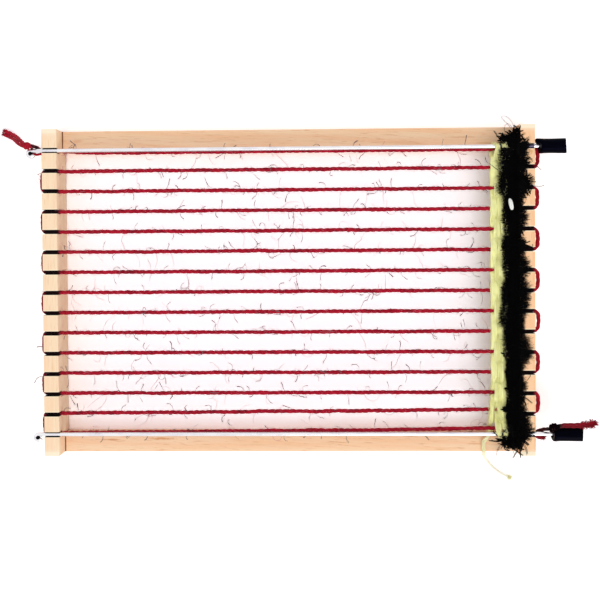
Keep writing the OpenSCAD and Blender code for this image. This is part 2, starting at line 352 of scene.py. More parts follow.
def twisted_yarns(
        name, yarn_lines, radius, share, turns, sides, finish, chance, pitch=PLY_PITCH, **marks):
    """One piece of one or more yarns, each spun unevenly of three plies."""
    lines, radii = [], []
    for yarn_line, turn in zip(yarn_lines, turns):
        yarn_radius = uneven(yarn_line, radius, chance, share)
        ply_lines, ply_radii = plies(yarn_line, yarn_radius, turn, pitch)
        lines.extend(ply_lines)
        radii.extend(ply_radii)
    return make_strands(name, np.stack(lines), np.stack(radii), sides, finish, **marks)


def side_by_side(path, apart, pitch, turn=0.0):
    """Two yarns lying beside each other along a path and turning once in each pitch."""
    _, across, up = strand_frames(path[None])
    angle = turn + 2 * math.pi * along(path)[:, None] / pitch
    half = np.reshape(apart, (-1, 1)) / 2
    offset = half * (np.cos(angle) * up[0] + np.sin(angle) * across[0])
    return path + offset, path - offset


def loose_fibres(roots, aims, lengths, rings, curl, chance):
    """Lines of fibres that set out from their roots towards their aims and curl."""
    centres = np.empty((len(roots), rings, 3))
    centres[:, 0] = roots
    step = lengths[:, None] / (rings - 1)
    aim = unit(aims)
    bend = chance.normal(0, curl, aims.shape)
    for ring in range(1, rings):
        centres[:, ring] = centres[:, ring - 1] + aim * step
        bend += chance.normal(0, curl / 2, aims.shape)
        aim = unit(aim + bend)
    return centres


def frayed_end(tip, heading, count, reach, spread, chance):
    """Fibres that open out from a cut end of yarn."""
    roots = tip + chance.normal(0, 0.5, (count, 3))
    aims = heading + chance.normal(0, spread, (count, 3))
    return loose_fibres(roots, aims, chance.uniform(0.4, 1, count) * reach, 6, 0.12, chance)


def frayed_piece(name, lines, thick, finish, slot, **marks):
    """A piece of frayed fibres, all of one thickness and none of them in the table."""
    lines[:, :, 2] = np.maximum(lines[:, :, 2], FIBRE_LOW)
    radii = np.full(lines.shape[:2], thick)
    return place(make_strands(name, lines, radii, 3, finish, **marks), "frame", slot)


def knot_line(start, heading, wraps, radius, advance):
    """Line of yarn wound round a strand: where it is knotted, it wraps on itself."""
    ahead = unit(np.array(heading, float))
    side = unit(np.cross(ahead, (0.0, 0, 1)))
    up = np.cross(side, ahead)
    share = np.linspace(0, 1, int(wraps * 16))[:, None]
    angle = 2 * math.pi * wraps * share
    swell = radius * (0.75 + 0.25 * np.sin(math.pi * share))
    return start + ahead * advance * share + swell * (np.cos(angle) * side + np.sin(angle) * up)


def place(piece, body, slot, *replaced):
    """Fixes a piece to its body and hides the CAD it stands for. The slot is not used."""
    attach(piece, body)
    if replaced:
        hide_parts(*replaced)
    return piece


crimson_wool = wool_finish(
    "crimson_wool", shown(98, 0, 22), shown(170, 2, 36), shown(206, 26, 60),
    shown(14, 1, 5), 0.06)
pink_fibre = plain_fibre_finish("pink_fibre", shown(196, 44, 78), shown(246, 160, 176))

chance = np.random.default_rng(11)
start_route = placed(START_TAIL, left_x, BACK_Y, WARP_Z, TAIL_R + RESTING_GAP)
start_path = laid(start_route, YARN_STEP, 10)
start_apart = np.interp(along(start_path), [0, 4, 9], [0.8, 1.2, 2.3])
start_pair = side_by_side(start_path, start_apart, 300, -0.3)
start_tail = twisted_yarns(
    "warp_start_tail_yarns", start_pair, 1.2, 0.05, (0, 1.1), 10, crimson_wool, chance)
place(start_tail, "frame", "crimson_yarn", "warp_start_tail")

start_knot_place = (left_x - 7.0, BACK_Y + 2.5, WARP_Z + 5.3)
start_wraps = knot_line(start_knot_place, (-4.2, 0.7, 0.2), 3, 1.55, 3.2)
start_knot_line = laid(start_wraps, KNOT_STEP, 2)
start_knot = twisted_yarns(
    "warp_start_knot", [start_knot_line], 1.0, 0.1, [0.5], 10, crimson_wool, chance)
place(start_knot, "frame", "crimson_yarn")

start_heading = unit(start_path[-1] - start_path[-6])
start_fray_lines = np.concatenate([
    frayed_end(yarn_line[-2], start_heading, 90, 2.2, 0.3, chance) for yarn_line in start_pair])
start_fray = frayed_piece(
    "warp_start_fray", start_fray_lines, 0.09, crimson_wool, "crimson_yarn")
start_path[0] * MM
start_path * MM

START_TIE = [
    (1.6, -0.5, -0.4), (0.2, -0.8, -0.3), (-1.6, -1.5, -0.3), (-3.4, -1.9, -0.4),
    (-5, -1.9, -0.6), (-6.4, -1.2, -0.9), (-7.2, 0.4, -0.9), (-7.4, 2.2, 0.2),
    (-7.2, 3.4, 2.2), (-6.9, 3.4, 4.2),
]
start_tie_line = laid(placed(START_TIE, left_x, BACK_Y, WARP_Z), YARN_STEP, 4)
start_tie = twisted_yarns(
    "warp_start_tie", [start_tie_line], 0.85, 0.1, [0.9], 8, crimson_wool, chance)
place(start_tie, "frame", "crimson_yarn")

# End of the warp: the same yarn leaves the right bar's last slot, is knotted, and its
# doubled end lies along the top of the front cap and frays out past it. A short spare
# end sticks out of the slot under the rod.
FRONT_Y = -BACK_Y
right_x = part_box("right_notched_bar")[1].x / MM
END_TAIL = [
    (6.8, 3.1, 3.3), (7.8, 3.6, 5), (8.6, 3.9, 6.6), (9.4, 4.5, 7.7), (10.7, 5.1, 7.9),
    (12.2, 5.5, 7.3), (13.8, 5.8, 6.6), (16.8, 6, 6.1), (19.8, 6, 6.1), (22.8, 6, 6.1),
    (25.8, 6, 6.1), (28.8, 6.1, 6), (31.6, 6.4, 5.9), (34.3, 6.8, 5.5),
]
end_path = laid(placed(END_TAIL, right_x, FRONT_Y, WARP_Z), YARN_STEP, 10)
end_apart = np.interp(along(end_path), [0, 3, 5], [0.3, 0.8, 1.7])
end_pair = side_by_side(end_path, end_apart, 260, 1.3)
# Painted shade: the doubled end is darkest by the bar and the knot, and unshaded at its frayed
# tip.
end_shade = np.interp(along(end_path), [0, 9, 12, 21, 25], [1, 0.95, 0.55, 0.4, 0])
end_tail = twisted_yarns(
    "warp_end_tail_yarns", end_pair, 1.05, 0.06, (0, 0.7), 10, crimson_wool, chance,
    hidden=end_shade[None])
place(end_tail, "frame", "crimson_yarn", "warp_end_tail")

end_knot_place = (right_x + 7.6, FRONT_Y + 4.3, WARP_Z + 6.6)
end_wraps = knot_line(end_knot_place, (4.8, 1.6, 1.0), 3.4, 1.6, 5.2)
end_knot_line = laid(end_wraps, KNOT_STEP, 2)
# Painted shade: the end knot gets a near-black copy of the crimson wool.
painted_shade_wool = wool_finish(
    "painted_shade_wool", shown(5, 1, 3), shown(9, 1, 4), shown(15, 3, 8), shown(2, 0, 1), 0.0, 0.02)
end_knot = twisted_yarns(
    "warp_end_knot", [end_knot_line], 0.95, 0.1, [0.2], 10, painted_shade_wool, chance)
place(end_knot, "frame", "crimson_yarn")

end_fray_lines = np.concatenate([
    frayed_end(end_path[ring], np.array([1.0, 0.2, -0.1]), 170, 3.8, 0.8, chance)
    for ring in (-19, -13, -7, -2)])
end_fray = frayed_piece("warp_end_fray", end_fray_lines, 0.11, crimson_wool, "crimson_yarn")
end_path[0] * MM
end_path * MM

END_TIE = [
    (-1.6, -0.3, -0.4), (-0.2, -0.8, -0.4), (0.8, -1.9, -0.3), (2.4, -2.7, 0),
    (4.2, -2.8, 0.1), (5.8, -2.5, 0.1),
]
end_tie_line = laid(placed(END_TIE, right_x, FRONT_Y, WARP_Z), YARN_STEP, 4)
# Painted shade darkens the spare end and its frayed fibres.
end_tie = twisted_yarns(
    "warp_end_tie", [end_tie_line], 1.4, 0.1, [0.4], 8, crimson_wool, chance, hidden=0.35)
place(end_tie, "frame", "crimson_yarn")
tie_fray_lines = frayed_end(end_tie_line[-5], np.array([1.0, 0.1, 0]), 170, 3, 0.4, chance)
frayed_piece(
    "warp_end_tie_fray", tie_fray_lines, 0.1, crimson_wool, "crimson_yarn", hidden=0.2)

# Loose end of the yellow weft: it leaves the first pick under the front rod, lies over
# the front rail, drops off it, and lies on the table.
WEFT_R = 0.9
PICK_PITCH = 2.25
PICK_DRIFT = 0.6
STRAY_PICK = 7
RAIL_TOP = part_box("front_rail")[1].z / MM
WARP_SWING = WARP_R + WEFT_R + 0.35
WEFT_LOW = WARP_Z - WARP_SWING
FIRST_PICK_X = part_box("right_notched_bar")[0].x / MM - 0.3 - WEFT_R
TAIL_UNDER_ROD = [(0, -1, 0), (-0.1, -1.9, -0.1), (-0.5, -2.8, -0.6), (-1.2, -3.7, -1.4)]
TAIL_ON_RAIL = [
    (-2, -4.8, 1.8), (-2.6, -6.1, 1.4), (-3, -7.8, 1.25), (-3.1, -9.6, 1.2),
    (-3.1, -11.2, 1.2), (-3.1, -12.6, 1.2), (-3, -14, 0.9),
]
TAIL_ON_TABLE = [
    (-2.7, -15.3, 7.4), (-2.1, -16.8, 5.4), (-1, -18.7, 3.2), (0.6, -21, 1.7),
    (2.6, -23.4, 1.2), (5.1, -26, 1.1), (8, -28.3, 1.1), (11.2, -30.2, 1.1),
    (14.3, -31.7, 1.1),
]
YELLOW_FRAY = 60


def pick_x(pick):
    """Where a pick of the weft lies, counted from the right bar."""
    return FIRST_PICK_X - pick * PICK_PITCH


def roving(core, half_width, half_height, count, thick, twist, chance):
    """Soft strands that lie side by side in a flattened, loosely twisted yarn."""
    heading = unit(np.gradient(core, axis=0))
    across = unit(np.array([1.0, 0, 0]) - heading[:, :1] * heading)
    upward = np.cross(heading, across)
    length = along(core)
    marks = np.arange(0, length[-1] + 8, 4)
    lines, radii = [], []
    for strand in range(count):
        out = math.sqrt((strand + 0.5) / count)
        wander = np.interp(length, marks, chance.normal(0, 0.4, len(marks)))
        angle = 2.4 * strand + wander + 2 * math.pi * length / twist
        lines.append(
            core + (out * (half_width - thick) * np.cos(angle))[:, None] * across
            + (out * (half_height - thick) * np.sin(angle))[:, None] * upward)
        radii.append(uneven(core, thick, chance, 0.12))
    return np.stack(lines), np.stack(radii)


# Painted highlight: the loose end gets a paler, lit copy of the yellow wool.
painted_lit_yellow_wool = wool_finish(
    "painted_lit_yellow_wool", shown(250, 242, 182), shown(255, 251, 204), shown(255, 255, 226),
    shown(255, 255, 242), 0.0)
yellow_fibre = plain_fibre_finish("yellow_fibre", shown(253, 250, 168), shown(255, 255, 212))

chance = np.random.default_rng(12)
stray_x = pick_x(STRAY_PICK) - PICK_DRIFT
yellow_path = laid(np.concatenate([
    placed(TAIL_UNDER_ROD, stray_x, FRONT_Y, WEFT_LOW),
    placed(TAIL_ON_RAIL, stray_x, FRONT_Y, RAIL_TOP),
    placed(TAIL_ON_TABLE, stray_x, FRONT_Y, 0, WEFT_R + RESTING_GAP),
]), 0.35, 6)
taper = np.interp(along(yellow_path), [0, 4, 6, 14, 20, 40], [1, 1.1, 1.35, 1.3, 0.9, 0.7])
# Painted highlight: the loose end is painted paler where it lies on the table.
painted_pale = np.interp(along(yellow_path), [12, 20], [0, 0.75])
lines, radii = roving(yellow_path, 1.05 * taper, 0.95 * taper, 9, 0.38, 16, chance)
yellow_tail = make_strands(
    "yellow_weft_loose_end", lines, radii, 6, painted_lit_yellow_wool, hidden=painted_pale[None])
place(yellow_tail, "frame", "yellow_yarn", "yellow_weft_tail")
yellow_heading = unit(yellow_path[-1] - yellow_path[-6])
yellow_fray_lines = frayed_end(yellow_path[-1], yellow_heading, YELLOW_FRAY, 3, 0.3, chance)
yellow_fray = frayed_piece(
    "yellow_weft_fray", yellow_fray_lines, 0.08, yellow_fibre, "yellow_yarn",
    tint=chance.uniform(0, 1, (YELLOW_FRAY, 1)))
yellow_path[0] * MM
yellow_path * MM

# Table and light: a white table under a large soft window in front of the loom and a
# bright room round it. The table shows white, and keeps the loom's shadow.
FILL = 0.845
WINDOW = 0.9
WINDOW_ELEVATION = 34
WINDOW_TURN = 20
WINDOW_SPREAD = 34
TABLE_HALF = 3

bpy.context.scene.view_settings.view_transform = "Standard"
table_mesh = bpy.data.meshes.new("table")
table_mesh.from_pydata(
    [(x * TABLE_HALF, y * TABLE_HALF, 0) for x, y in ((-1, -1), (1, -1), (1, 1), (-1, 1))],
    [], [(0, 1, 2, 3)])
set_up("table", table_mesh)
table_white, board = begin_finish("table_white")
lit = board.node("ShaderNodeBsdfDiffuse", None, {"Color": (0.95, 0.89, 0.87, 1)})
shown_lit = board.node("ShaderNodeBsdfDiffuse", None, {"Color": (1.42, 1.42, 1.46, 1)})
seen = board.ray("Is Camera Ray")
looked_at = board.node("ShaderNodeMixShader", None, {0: seen, 1: lit, 2: shown_lit})
board.node("ShaderNodeOutputMaterial", None, {"Surface": looked_at})
table_mesh.materials.append(table_white)

room = bpy.data.worlds.new("room")
bpy.context.scene.world = room
room.use_nodes = True
room.node_tree.nodes.clear()
air = Signal(room.node_tree)
seen = air.ray("Is Camera Ray")
mirrored = air.ray("Is Glossy Ray")
through = air.ray("Is Transmission Ray")
shown_white = air.math("MAXIMUM", seen, air.math("MAXIMUM", mirrored, through))
sky = air.node("ShaderNodeBackground", None, {
    "Color": (1, 1, 1, 1), "Strength": FILL + shown_white * (1 - FILL),
})
air.node("ShaderNodeOutputWorld", None, {"Surface": sky})

window_data = bpy.data.lights.new("window", "SUN")
window_data.energy = WINDOW
window_data.angle = math.radians(WINDOW_SPREAD)
window_data.color = (1, 0.985, 0.965)
window = set_up("window", window_data)
window.rotation_euler = (math.radians(90 - WINDOW_ELEVATION), 0, math.radians(WINDOW_TURN))

# Two notched end bars of pale close-grained wood, with fifteen sawn slots across the
# top. The slots are painted dark as shade, and their top edges paler as highlight and wear.
EDGE_WEAR = 0.16
SHARP_ANGLE = 50
BAR_END = 102.3
SLOT_ROW_END = BACK_Y + 4.1


def wood_finish(name, squeeze, slant, pale, warm, line, marks, wear):
    """Planed wood whose grain runs where its pattern is squeezed the most.

    Each mark is a stain's x, y, half length, half width, strength and colour, and wear
    is a function that adds the part's dark joints, its wear and its painted light and shade.
    """
    material, wood = begin_finish(name)
    spot = wood.place_mm()
    turned = wood.node(
        "ShaderNodeVectorRotate", {"rotation_type": "Z_AXIS"},
        {"Vector": spot, "Angle": math.radians(slant)})
    grain = turned.stretched(squeeze)
    bands = grain.stretched((0.3,) * 3).noise(3)
    lines = grain.stretched((1.7,) * 3).noise(6, 0.7)
    dashes = turned.stretched([3 * s if s < 1 else 1.5 for s in squeeze]).noise(2, 0.4)
    flecks = grain.stretched((5.0,) * 3).noise(3, 0.6)
    colour = bands.rise(0.3, 0.72).blend(pale, warm)
    colour = (lines.rise(0.5, 0.75) * 0.5).blend(colour, line)
    colour = (dashes.rise(0.62, 0.72) * 0.55).blend(colour, line)
    ripple = spot.stretched((0.35, 0.5, 0.5)).noise(3)
    for x, y, half_x, half_y, strength, stain in marks:
        far = spot.distance_from(x, y, half_x, half_y)
        mark = (far + ripple * 1.1 + lines * 0.5).rise(1.7, 0.9)
        colour = (mark * strength).blend(colour, stain)
    colour = wear(wood, spot, ripple, colour)
    height = lines * 0.6 + flecks * 0.4
    end_finish(wood, {
        "Base Color": colour, "Roughness": 0.42 + lines * 0.2,
        "Normal": height.relief(0.07), "Specular IOR Level": 0.35,
    })
    return material


def bar_wear_and_painted_light(wood, spot, ripple, colour):
    """Painted shade in the slots and at the feet, and a painted highlight on the ends and slot
    edges.
    """
    facing = wood.node("ShaderNodeNewGeometry", None, None, "True Normal")
    y = spot.part(1)
    z = spot.part(2)
    upward = facing.part(2).rise(0.6, 0.8)
    from_slot = wood.math("PINGPONG", y - BACK_Y, SLOT_PITCH / 2)
    # Painted highlight, together with some wear: the tooth tops are paler beside the slots.
    painted_edge_highlight_and_wear = upward * from_slot.rise(2.3, 1.3) * z.rise(BAR_TOP - 0.4, BAR_TOP - 0.1)
    colour = (painted_edge_highlight_and_wear * 0.75).blend(colour, shown(255, 238, 205))
    # Painted highlight: the tops of the bar ends are paler.
    painted_end_highlight = abs(y).rise(BAR_END - 5.3, BAR_END - 0.8) * upward
    colour = (painted_end_highlight * 0.6).blend(colour, shown(255, 244, 220))
    # Painted shadow: the bars darken at their feet, where they stand on the table.
    painted_foot_shadow = z.rise(1.3, 0.3) * 0.5
    colour = painted_foot_shadow.blend(colour, shown(150, 104, 84))
    # Painted shade: the slots' walls and floors are painted near-black.
    sawn = abs(facing.part(1)).rise(0.75, 0.9)
    walls = sawn * z.rise(SLOT_FLOOR - 0.3, SLOT_FLOOR)
    floors = upward * z.rise(SLOT_FLOOR + 1.5, SLOT_FLOOR + 1)
    among = abs(y).rise(SLOT_ROW_END, SLOT_ROW_END - 1)
    painted_slot_shade = wood.math("MINIMUM", walls + floors, 1) * among
    return painted_slot_shade.blend(colour, shown(22, 17, 12))


def finish_node(name, finish):
    """Gives a CAD part its finish, and returns the part."""
    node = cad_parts[name]
    node.data.materials.clear()
    node.data.materials.append(finish)
    return node


def dress_wood(name, finish):
    """Gives a wooden CAD part its finish, and rounds its sharp edges as wear does."""
    node = finish_node(name, finish)
    weld = node.modifiers.new("weld", "WELD")
    weld.merge_threshold = 0.01 * MM
    bevel = node.modifiers.new("eased edges", "BEVEL")
    bevel.width = EDGE_WEAR * MM
    bevel.segments = 2
    bevel.limit_method = "ANGLE"
    bevel.angle_limit = math.radians(SHARP_ANGLE)


bar_marks = [
    (136.6, 96.2, 1.8, 1.6, 0.6, shown(150, 100, 60)),
    (141.2, 85.6, 1.6, 1.8, 0.55, shown(205, 150, 60)),
    (137.5, 20, 1.5, 7, 0.3, shown(235, 175, 120)),
    (-158.5, 62, 1.6, 9, 0.25, shown(240, 190, 130)),
    (-156.5, -48, 1.8, 12, 0.25, shown(240, 190, 130)),
]
left_bar_wood = wood_finish(
    "left_bar_wood", (1, 0.035, 1), 1.2, shown(253, 228, 194), shown(252, 217, 182),
    shown(232, 186, 142), bar_marks, bar_wear_and_painted_light)
right_bar_wood = wood_finish(
    "right_bar_wood", (1, 0.035, 1), -1.0, shown(252, 208, 163), shown(250, 195, 147),
    shown(226, 160, 108), bar_marks, bar_wear_and_painted_light)
dress_wood("left_notched_bar", left_bar_wood)
dress_wood("right_notched_bar", right_bar_wood)

# Two side rails of warmer wood, lower than the bars and let into them. Their grain
# runs a little askew, with short slanting dashes and a few brown streaks by a knot.
BAR_WIDTH = 9.5
rail_marks = [
    (-138, -91.8, 11, 1.2, 0.85, shown(222, 148, 90)),
    (-124, -94.6, 9, 0.9, 0.8, shown(212, 136, 80)),
    (-91, -94, 13, 1.3, 0.8, shown(218, 146, 88)),
    (67.6, -92.4, 7, 0.9, 0.7, shown(200, 132, 80)),
    (20, -96.5, 16, 0.9, 0.3, shown(228, 166, 110)),
    (-30, -98, 18, 0.9, 0.3, shown(228, 166, 110)),
    (108, -97.5, 8, 0.8, 0.45, shown(210, 145, 92)),
    (102, 96.2, 22, 1.1, 0.45, shown(226, 162, 104)),
    (116, 92.4, 16, 0.8, 0.45, shown(220, 154, 96)),
    (60, 93.5, 24, 0.9, 0.25, shown(230, 172, 118)),
    (-70, 95, 30, 1.2, 0.2, shown(236, 178, 120)),
    (-143, 96, 6, 2.2, 0.4, shown(230, 160, 104)),
]


def rail_wear(wood, spot, ripple, colour):
    """The thin dark gaps where the rails' ends are let into the bars."""
    x = spot.part(0) + ripple * 0.5
    left_joint = left_x + BAR_WIDTH
    right_joint = right_x - BAR_WIDTH
    left_gap = x.rise(left_joint + 1.15, left_joint + 0.75)
    right_gap = x.rise(right_joint - 0.75, right_joint - 0.55)
    colour = (left_gap * 0.95).blend(colour, shown(112, 52, 12))
    return (right_gap * 0.7).blend(colour, shown(132, 80, 40))


rail_wood = wood_finish(
    "rail_wood", (0.04, 1, 1), 3, shown(255, 219, 182), shown(253, 204, 160),
    shown(222, 162, 110), rail_marks, rail_wear)
for rail in ("back_rail", "front_rail"):
    dress_wood(rail, rail_wood)

# Four birch dowels pin the rails' ends from outside, sawn flush with the bars. Only
# their end grain shows, pale with dark pores.
dowel_wood, dowel = begin_finish("dowel_wood")
ends = dowel.place_mm()
pores = ends.stretched((0.2, 4, 4)).noise(4, 0.7)
speckle = ends.stretched((0.3, 1.2, 1.2)).noise(3)
dowel_tone = (pores * 0.6 + speckle * 0.5).rise(0.35, 0.75)
end_finish(dowel, {
    "Base Color": dowel_tone.blend(shown(236, 196, 146), shown(178, 126, 78)),
    "Roughness": 0.6 + pores * 0.2, "Normal": pores.relief(0.1),
})
for corner in ("back_left", "back_right", "front_left", "front_right"):
    dress_wood(corner + "_dowel", dowel_wood)

# Two straight rods of bright drawn steel, each bent into a small eye at its left end.
# Fine draw marks run along them. The eyes' holes are painted near-black as shade, and
# the back rod is painted dark as shade where it lies in the right bar.
ROD_R = 1.25
ROD_Z = WARP_Z + WARP_R + 0.3 + ROD_R
EYES = ((left_x - 7.1, BACK_Y - 1.8), (left_x - 4.2, FRONT_Y - 1.8))
DARK_END = 143.4
EYE_SHADE_FIBRES = 110

rod_steel, steel = begin_finish("rod_steel")
on_rod = steel.place_mm()
draw_marks = on_rod.stretched((0.06, 7, 7)).noise(4, 0.65)
smears = on_rod.stretched((0.09, 0.5, 0.5)).noise(3)
bright = smears.rise(0.35, 0.75).blend((0.9, 0.89, 0.91, 1), (0.76, 0.74, 0.8, 1))
# Painted shade: the steel is painted near-black in and round each eye's hole.
for eye_x, eye_y in EYES:
    painted_eye_shade = on_rod.distance_from(eye_x, eye_y).rise(1.4, 1.1)
    bright = painted_eye_shade.blend(bright, (0.004, 0.004, 0.006, 1))
rod_x = on_rod.part(0)
# Painted shade: the back rod is painted dark where it lies in the right bar's slot.
in_bar = rod_x.rise(DARK_END - 18.4, DARK_END - 14.4) * rod_x.rise(DARK_END, DARK_END - 0.8)
painted_rod_shade = in_bar * on_rod.part(1).rise(0, 1)
bright = (painted_rod_shade * 0.93).blend(bright, (0.03, 0.02, 0.06, 1))
end_finish(steel, {
    "Base Color": bright,
    "Metallic": 1.0, "Roughness": 0.1 + smears * 0.16 + draw_marks * 0.08,
    "Normal": draw_marks.relief(0.012),
})
for rod in ("back_rod", "front_rod"):
    finish_node(rod, rod_steel)

# Painted shade: a tuft of dark fibres sits in each eye's hole, where there is only shade.
eye_shade_fibre = plain_fibre_finish("eye_shade_fibre", shown(5, 4, 5), shown(34, 26, 30), 0.05)
chance = np.random.default_rng(20)
for rod, (eye_x, eye_y) in zip(("back_rod", "front_rod"), EYES):
    roots = np.array([eye_x, eye_y, ROD_Z]) + chance.normal(0, 0.42, (EYE_SHADE_FIBRES, 3)) * (1, 1, 0.8)
    aims = chance.normal(0, 1, (EYE_SHADE_FIBRES, 3)) * (1, 1, 0.5)
    eye_shade_lines = loose_fibres(roots, aims, np.full(EYE_SHADE_FIBRES, 1.3), 6, 0.5, chance)
    eye_shade_tuft = make_strands(
        rod + "_eye_shade_fibres", eye_shade_lines, np.full((EYE_SHADE_FIBRES, 6), 0.09), 4, eye_shade_fibre,
        tint=chance.uniform(0, 1, (EYE_SHADE_FIBRES, 1)))
    place(eye_shade_tuft, rod, "black_yarn")

# Two black vinyl caps pushed on the rods' right ends. They were cut from tube by hand,
# so a mouth is askew and its rim a little swollen, and the closed end slants back at
# the top.
CAP_R = 4.65
CAP_FLOOR = 3
END_SLANT = 1.4
BORE_R = ROD_R + 0.05
CAP_SIDES = 48
BACK_CAP_MORE = 1.2

cap_vinyl, vinyl = begin_finish("cap_vinyl")
on_cap = vinyl.place_mm()
scuffs = on_cap.stretched((0.15, 0.9, 0.9)).noise(4, 0.6)
skin = on_cap.stretched((2.5, 2.5, 2.5)).noise(3, 0.6)
scuffed = scuffs.rise(0.4, 0.8).blend((0.0008, 0.0008, 0.002, 1), (0.002, 0.002, 0.006, 1))
end_finish(vinyl, {
    "Base Color": scuffed,
    "Roughness": 0.16 + scuffs * 0.16, "Normal": skin.relief(0.02),
    "Specular IOR Level": 0.02, "Specular Tint": (0.3, 0.34, 1, 1),
})


def make_cap(name, y, mouth_x, length, mouth_skew, end_skew):
    """A blind tube: up its bore, round its rim, along its wall and over its end.

    Each ring has its distance from the mouth, its radius and its share of the mouth's
    skew.
    """
    floor = length - CAP_FLOOR
    wall = [
        (floor, 0.02, 0), (floor, BORE_R * 0.7, 0), (floor - 0.3, BORE_R, 0),
        (floor * 0.6, BORE_R, 0.2), (1.2, BORE_R + 0.02, 0.9), (0.35, BORE_R + 0.35, 1),
        (0.05, BORE_R + 0.9, 1), (0, CAP_R - 1.1, 1), (0.12, CAP_R - 0.45, 1),
        (0.5, CAP_R - 0.08, 1), (1.1, CAP_R, 1), (2.2, CAP_R - 0.02, 0.9),
        (3.4, CAP_R - 0.14, 0.75), (5.5, CAP_R - 0.2, 0.45), (8, CAP_R - 0.18, 0.2),
        (length * 0.62, CAP_R - 0.12, 0), (length * 0.8, CAP_R - 0.05, 0),
        (length - 0.7, CAP_R - 0.01, 0), (length - 0.35, CAP_R - 0.05, 0),
        (length - 0.14, CAP_R - 0.16, 0), (length - 0.04, CAP_R - 0.36, 0),
        (length - 0.02, CAP_R - 1.0, 0), (length, CAP_R * 0.4, 0), (length, 0.02, 0),
    ]
    turn = np.arange(CAP_SIDES) * 2 * math.pi / CAP_SIDES
    points = []
    for distance, radius, skewed in wall:
        cut = end_skew * np.cos(turn) - END_SLANT * np.maximum(0, np.sin(turn)) ** 1.3
        askew = skewed * mouth_skew(turn) + (distance / length) ** 8 * cut
        points.extend(np.stack([
            mouth_x + distance + askew, y + radius * np.cos(turn),
            ROD_Z + radius * np.sin(turn),
        ], axis=1))
    corner = np.arange(len(points)).reshape(len(wall), CAP_SIDES)
    beside = np.roll(corner, -1, 1)
    strips = np.stack([corner[:-1], beside[:-1], beside[1:], corner[1:]], axis=-1)
    faces = strips.reshape(-1, 4).tolist()
    faces.append(corner[0, ::-1].tolist())
    faces.append(corner[-1].tolist())
    mesh = bpy.data.meshes.new(name)
    mesh.from_pydata((np.array(points) * MM).tolist(), [], faces)
    mesh.polygons.foreach_set("use_smooth", np.ones(len(faces), bool))
    mesh.materials.append(cap_vinyl)
    mesh.update()
    return set_up(name, mesh)


def back_mouth(turn):
    """The back cap's lip reaches nearer the bar on the side away from the yarn."""
    return -2.2 * np.maximum(0, np.cos(turn)) ** 1.6 + 0.5 * np.maximum(0, np.sin(turn)) ** 2


def front_mouth(turn):
    """The front cap's lip is cut nearly square."""
    return -0.35 * np.cos(turn) + 0.25 * np.maximum(0, np.sin(turn))


for end, y, more, mouth, end_skew in (
        ("back", BACK_Y, BACK_CAP_MORE, back_mouth, -0.25),
        ("front", FRONT_Y, 0, front_mouth, 0.15)):
    cap_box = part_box(end + "_rod_cap")
    mouth_x = cap_box[0].x / MM
    length = (cap_box[1].x - cap_box[0].x) / MM + more
    cap = make_cap(end + "_cap_vinyl", y, mouth_x, length, mouth, end_skew)
    place(cap, end + "_cap", "black_cap", end + "_rod_cap")

# One crimson warp yarn, laid to and fro through all fifteen slots. Outside the bars it
# turns round the teeth, close on the left and slacker on the right. The first and last
# threads are drawn in from the rods, and fluff stands off the yarn all along it.
START_LEAD = [
    (-6.6, 2.8, 4.6), (-6, 3, 3.7), (-4.8, 2.9, 2.2), (-3.2, 1.9, 0.7), (-1.6, 0.7, 0.1),
]
END_LEAD = [
    (1.6, 0.5, 0.1), (3.2, 1.4, 0.4), (4.9, 2.3, 1.2), (6.1, 2.8, 2.4), (6.8, 3.1, 3.3),
]
LEFT_OUT = 1.3
RIGHT_OUT = 2.7
WARP_STEP = 0.5
LEAD_STEPS = 22


def slot_y(thread):
    """Where a slot lies, counted from the back."""
    return BACK_Y - thread * SLOT_PITCH


def thread_y(thread, x):
    """Where a warp thread lies at x. The rods and the weft pull some out of line."""
    drawn = {0: (-1.3, -1.3), LAST_SLOT - 1: (0.2, 2.0), LAST_SLOT: (0.4, 3.0)}
    left_pull, right_pull = drawn.get(thread, (0, 0))
    return slot_y(thread) + np.interp(
        x, [left_x + 9, left_x + 30, 60, 118, right_x - 14, right_x - 9],
        [0, left_pull, 0.6 * right_pull + 0.4 * left_pull, right_pull, right_pull * 0.8, 0])


def warp_bend(thread, side, chance):
    """Points of the turn from one slot to the next, round the outside of a tooth."""
    if side > 0:
        edge, out = right_x, RIGHT_OUT * chance.uniform(0.85, 1.1)
    else:
        edge, out = left_x, LEFT_OUT * chance.uniform(0.9, 1.1)
    shape = [
        (0, 0), (0.55, 0.05), (0.86, 0.16), (1, 0.34), (1, 0.66), (0.86, 0.84), (0.55, 0.95),
        (0, 1),
    ]
    top = slot_y(thread)
    return [(edge + side * out * o, top - d * SLOT_PITCH, WARP_Z) for o, d in shape]


chance = np.random.default_rng(13)
warp_points = [tuple(p) for p in placed(START_LEAD, left_x, BACK_Y, WARP_Z)]
pass_x = np.linspace(left_x + 3, right_x - 3, 44)
for thread in range(LAST_SLOT + 1):
    xs = pass_x if thread % 2 == 0 else pass_x[::-1]
    free = (xs > left_x + 14) & (xs < right_x - 34)
    ys = thread_y(thread, xs) + free * chance.normal(0, 0.1, len(xs))
    zs = WARP_Z + free * chance.normal(0, 0.08, len(xs))
    warp_points.extend(zip(xs, ys, zs))
    if thread < LAST_SLOT:
        warp_points.extend(warp_bend(thread, 1 if thread % 2 == 0 else -1, chance))
warp_points.extend(tuple(p) for p in placed(END_LEAD, right_x, FRONT_Y, WARP_Z))
warp_core = laid(warp_points, WARP_STEP, 5)
from_middle = np.abs(warp_core[:, 0] - (left_x + right_x) / 2)
half_loom = (right_x - left_x) / 2
in_slot = np.abs(from_middle - half_loom + BAR_WIDTH / 2) < BAR_WIDTH / 2 + 0.15
beyond_left = warp_core[:, 0] < left_x - 0.1
beyond_right = warp_core[:, 0] > right_x + 0.1
